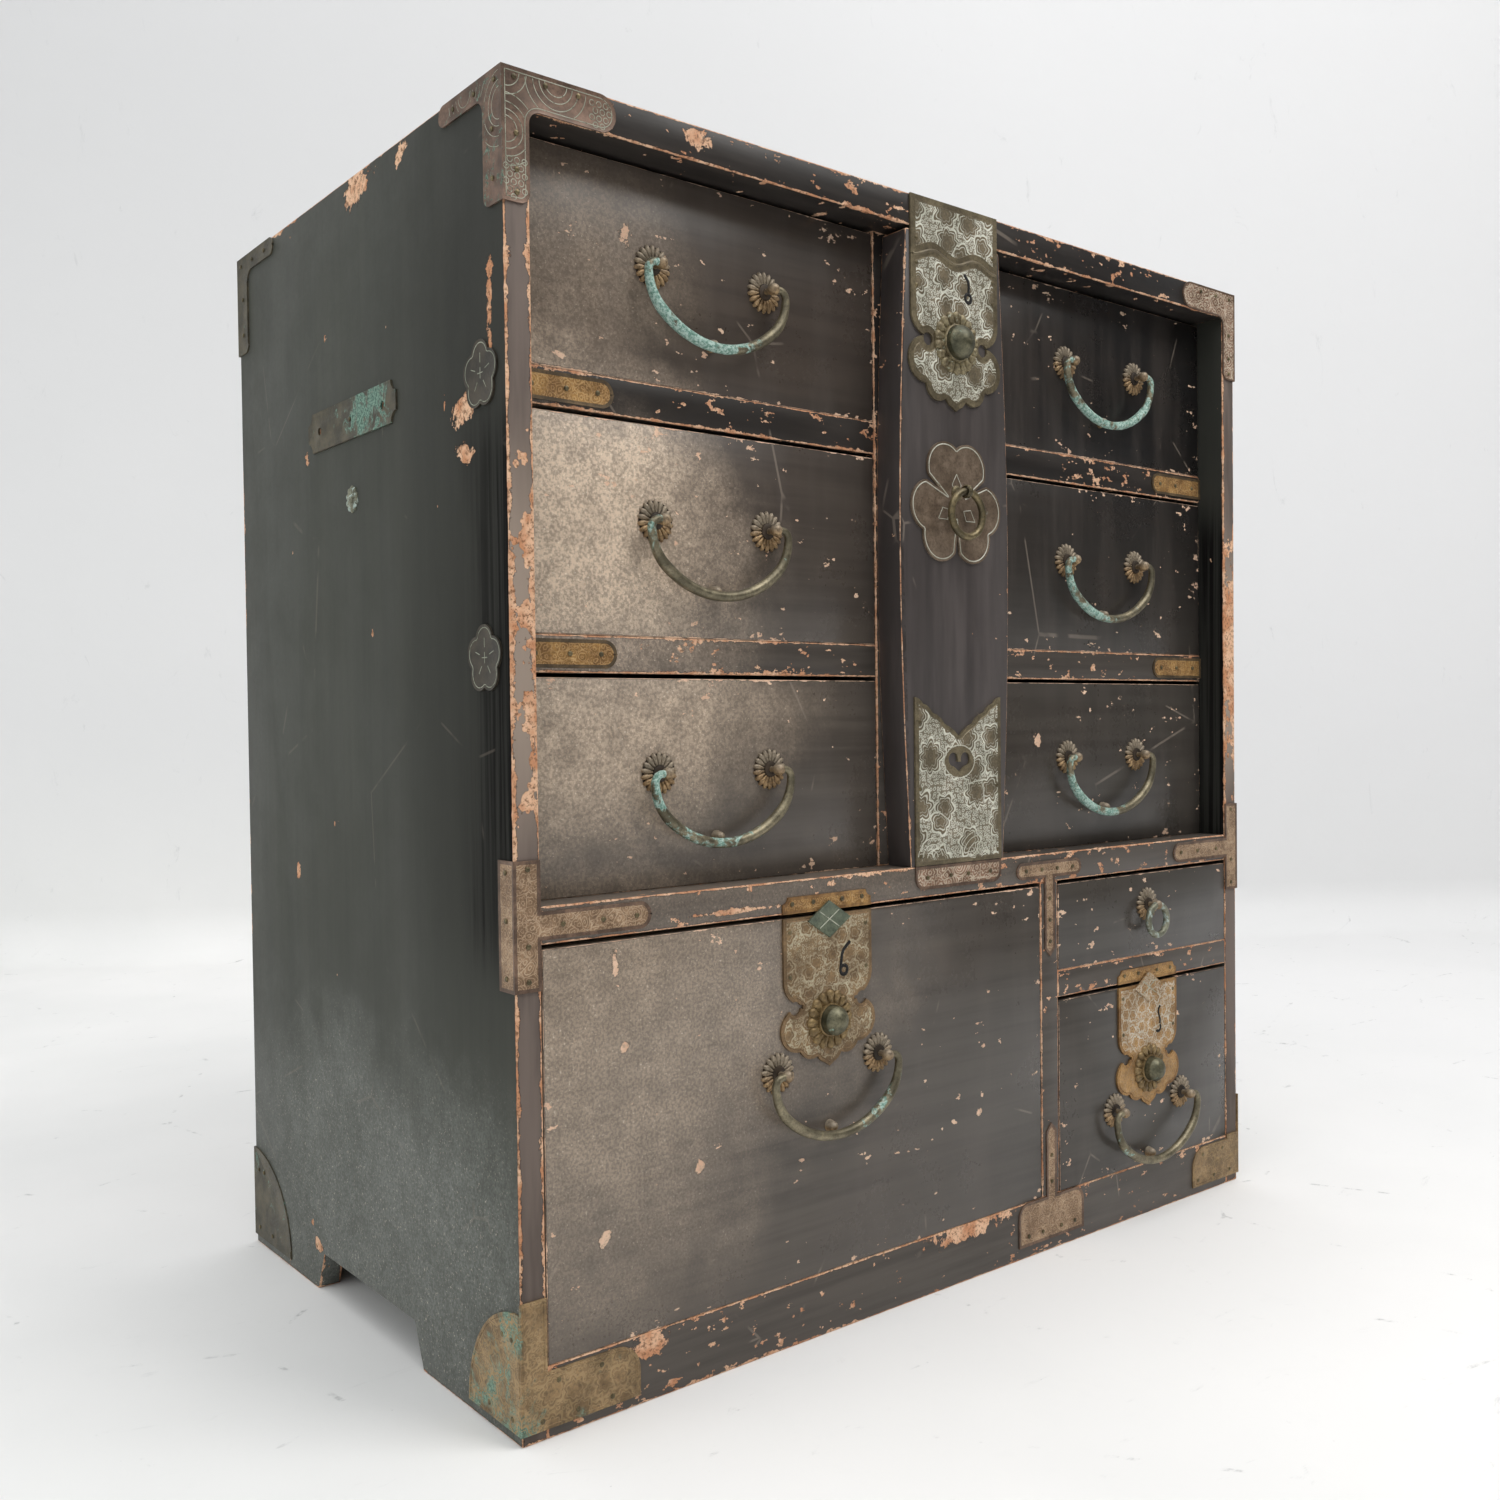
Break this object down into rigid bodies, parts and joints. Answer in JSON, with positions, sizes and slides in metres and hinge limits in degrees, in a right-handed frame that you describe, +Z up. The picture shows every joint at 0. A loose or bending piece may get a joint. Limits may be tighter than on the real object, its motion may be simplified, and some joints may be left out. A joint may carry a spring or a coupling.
{
  "type": "chest of drawers",
  "caption": "Lacquered tansu with a tilting lock bar, recessed upper drawers, locked lower drawers, bail handles, ring pulls and engraved metal fittings.",
  "frame": {"origin": "floor under the middle of the chest's box", "axes": "+Z up, -Y out of the front, +X to the right as seen from the front"},
  "size_m": [0.792, 0.4808, 0.85],
  "materials": {
    "front_lacquer": "worn brown-black lacquer, satin",
    "side_lacquer": "dark greenish lacquer with faint grain, satin",
    "inner_wood": "bare aged softwood, matt",
    "brass": "aged and engraved",
    "copper": "brown patina with pale engraving",
    "bronze": "dark olive patina",
    "verdigris": "green patina",
    "iron": "dull sheet iron"
  },
  "bodies": {
    "case": {"side_left": "side_lacquer", "side_right": "side_lacquer", "top_board": "front_lacquer", "bottom_board": "inner_wood", "base_rails": "front_lacquer", "back_panel": "inner_wood", "middle_rail": "front_lacquer", "drawer_shelves": "inner_wood", "centre_stile": "front_lacquer", "partitions": "inner_wood", "dividers": "front_lacquer", "lower_post": "front_lacquer", "corner_fittings": "brass", "rail_fittings": "brass", "side_fittings": "verdigris", "fitting_nails": "bronze"},
    "bar": {"lock_bar": "front_lacquer", "bar_top_plate": "copper", "bar_lock_plate": "copper", "bar_lock_case": "iron", "bar_foot_plate": "copper", "bar_blossom_plate": "copper"},
    "bar_button": {"bar_button": "bronze"},
    "bar_bolt": {"bar_bolt": "iron"},
    "bar_ring": {"bar_ring": "bronze"},
    "drawer_left_top": {"drawer_left_top": "front_lacquer", "rosettes_left_top": "brass"},
    "bail_left_top": {"bail_left_top": "verdigris"},
    "drawer_left_middle": {"drawer_left_middle": "front_lacquer", "rosettes_left_middle": "brass"},
    "bail_left_middle": {"bail_left_middle": "bronze"},
    "drawer_left_bottom": {"drawer_left_bottom": "front_lacquer", "rosettes_left_bottom": "brass"},
    "bail_left_bottom": {"bail_left_bottom": "bronze"},
    "drawer_right_top": {"drawer_right_top": "front_lacquer", "rosettes_right_top": "brass"},
    "bail_right_top": {"bail_right_top": "bronze"},
    "drawer_right_middle": {"drawer_right_middle": "front_lacquer", "rosettes_right_middle": "brass"},
    "bail_right_middle": {"bail_right_middle": "bronze"},
    "drawer_right_bottom": {"drawer_right_bottom": "front_lacquer", "rosettes_right_bottom": "brass"},
    "bail_right_bottom": {"bail_right_bottom": "bronze"},
    "drawer_big": {"drawer_big": "front_lacquer", "rosettes_big": "brass", "big_lock_plate": "brass", "big_lock_case": "iron"},
    "bail_big": {"bail_big": "bronze"},
    "big_button": {"big_button": "bronze"},
    "big_bolt": {"big_bolt": "iron"},
    "drawer_small": {"drawer_small": "front_lacquer", "rosettes_small": "brass", "small_lock_plate": "brass", "small_lock_case": "iron"},
    "bail_small": {"bail_small": "bronze"},
    "small_button": {"small_button": "bronze"},
    "small_bolt": {"small_bolt": "iron"},
    "drawer_ring": {"drawer_ring": "front_lacquer", "ring_rosette": "verdigris"},
    "ring_pull": {"ring_pull": "verdigris"}
  },
  "joints": [
    {"name": "bar_tilt", "type": "hinge", "parent": "case", "child": "bar", "pos_m": [0.005, -0.2231, 0.335], "axis": [1, 0, 0], "range_deg": [0, 12]},
    {"name": "slide_left_top", "type": "slide", "parent": "case", "child": "drawer_left_top", "axis": [0, -1, 0], "range_m": [0, 0.32]},
    {"name": "slide_left_middle", "type": "slide", "parent": "case", "child": "drawer_left_middle", "axis": [0, -1, 0], "range_m": [0, 0.32]},
    {"name": "slide_left_bottom", "type": "slide", "parent": "case", "child": "drawer_left_bottom", "axis": [0, -1, 0], "range_m": [0, 0.32]},
    {"name": "slide_right_top", "type": "slide", "parent": "case", "child": "drawer_right_top", "axis": [0, -1, 0], "range_m": [0, 0.32]},
    {"name": "slide_right_middle", "type": "slide", "parent": "case", "child": "drawer_right_middle", "axis": [0, -1, 0], "range_m": [0, 0.32]},
    {"name": "slide_right_bottom", "type": "slide", "parent": "case", "child": "drawer_right_bottom", "axis": [0, -1, 0], "range_m": [0, 0.32]},
    {"name": "slide_big", "type": "slide", "parent": "case", "child": "drawer_big", "axis": [0, -1, 0], "range_m": [0, 0.32]},
    {"name": "slide_small", "type": "slide", "parent": "case", "child": "drawer_small", "axis": [0, -1, 0], "range_m": [0, 0.32]},
    {"name": "slide_ring", "type": "slide", "parent": "case", "child": "drawer_ring", "axis": [0, -1, 0], "range_m": [0, 0.32]},
    {"name": "lift_left_top", "type": "hinge", "parent": "drawer_left_top", "child": "bail_left_top", "pos_m": [-0.2165, -0.2091, 0.758], "axis": [-1, 0, 0], "range_deg": [0, 165]},
    {"name": "lift_left_middle", "type": "hinge", "parent": "drawer_left_middle", "child": "bail_left_middle", "pos_m": [-0.2165, -0.2091, 0.586], "axis": [-1, 0, 0], "range_deg": [0, 165]},
    {"name": "lift_left_bottom", "type": "hinge", "parent": "drawer_left_bottom", "child": "bail_left_bottom", "pos_m": [-0.2165, -0.2091, 0.414], "axis": [-1, 0, 0], "range_deg": [0, 165]},
    {"name": "lift_right_top", "type": "hinge", "parent": "drawer_right_top", "child": "bail_right_top", "pos_m": [0.2215, -0.2091, 0.758], "axis": [-1, 0, 0], "range_deg": [0, 165]},
    {"name": "lift_right_middle", "type": "hinge", "parent": "drawer_right_middle", "child": "bail_right_middle", "pos_m": [0.2215, -0.2091, 0.586], "axis": [-1, 0, 0], "range_deg": [0, 165]},
    {"name": "lift_right_bottom", "type": "hinge", "parent": "drawer_right_bottom", "child": "bail_right_bottom", "pos_m": [0.2215, -0.2091, 0.414], "axis": [-1, 0, 0], "range_deg": [0, 165]},
    {"name": "lift_big", "type": "hinge", "parent": "drawer_big", "child": "bail_big", "pos_m": [-0.1355, -0.2351, 0.199], "axis": [-1, 0, 0], "range_deg": [0, 165]},
    {"name": "lift_small", "type": "hinge", "parent": "drawer_small", "child": "bail_small", "pos_m": [0.2505, -0.2351, 0.102], "axis": [-1, 0, 0], "range_deg": [0, 165]},
    {"name": "swing_bar_ring", "type": "hinge", "parent": "bar", "child": "bar_ring", "pos_m": [0.005, -0.2351, 0.626], "axis": [-1, 0, 0], "range_deg": [0, 100]},
    {"name": "swing_ring_pull", "type": "hinge", "parent": "drawer_ring", "child": "ring_pull", "pos_m": [0.2505, -0.2351, 0.28026], "axis": [-1, 0, 0], "range_deg": [0, 100]},
    {"name": "press_bar_button", "type": "slide", "parent": "bar", "child": "bar_button", "axis": [0, -1, 0], "range_m": [-0.006, 0]},
    {"name": "throw_bar_bolt", "type": "slide", "parent": "bar", "child": "bar_bolt", "axis": [0, 0, -1], "range_m": [-0.009, 0]},
    {"name": "press_big_button", "type": "slide", "parent": "drawer_big", "child": "big_button", "axis": [0, -1, 0], "range_m": [-0.006, 0]},
    {"name": "throw_big_bolt", "type": "slide", "parent": "drawer_big", "child": "big_bolt", "axis": [0, 0, -1], "range_m": [-0.009, 0]},
    {"name": "press_small_button", "type": "slide", "parent": "drawer_small", "child": "small_button", "axis": [0, -1, 0], "range_m": [-0.006, 0]},
    {"name": "throw_small_bolt", "type": "slide", "parent": "drawer_small", "child": "small_bolt", "axis": [0, 0, -1], "range_m": [-0.009, 0]}
  ],
  "couplings": [
    {"joint": "throw_bar_bolt", "follows": "press_bar_button", "ratio": 1.5},
    {"joint": "throw_big_bolt", "follows": "press_big_button", "ratio": 1.5},
    {"joint": "throw_small_bolt", "follows": "press_small_button", "ratio": 1.5}
  ]
}
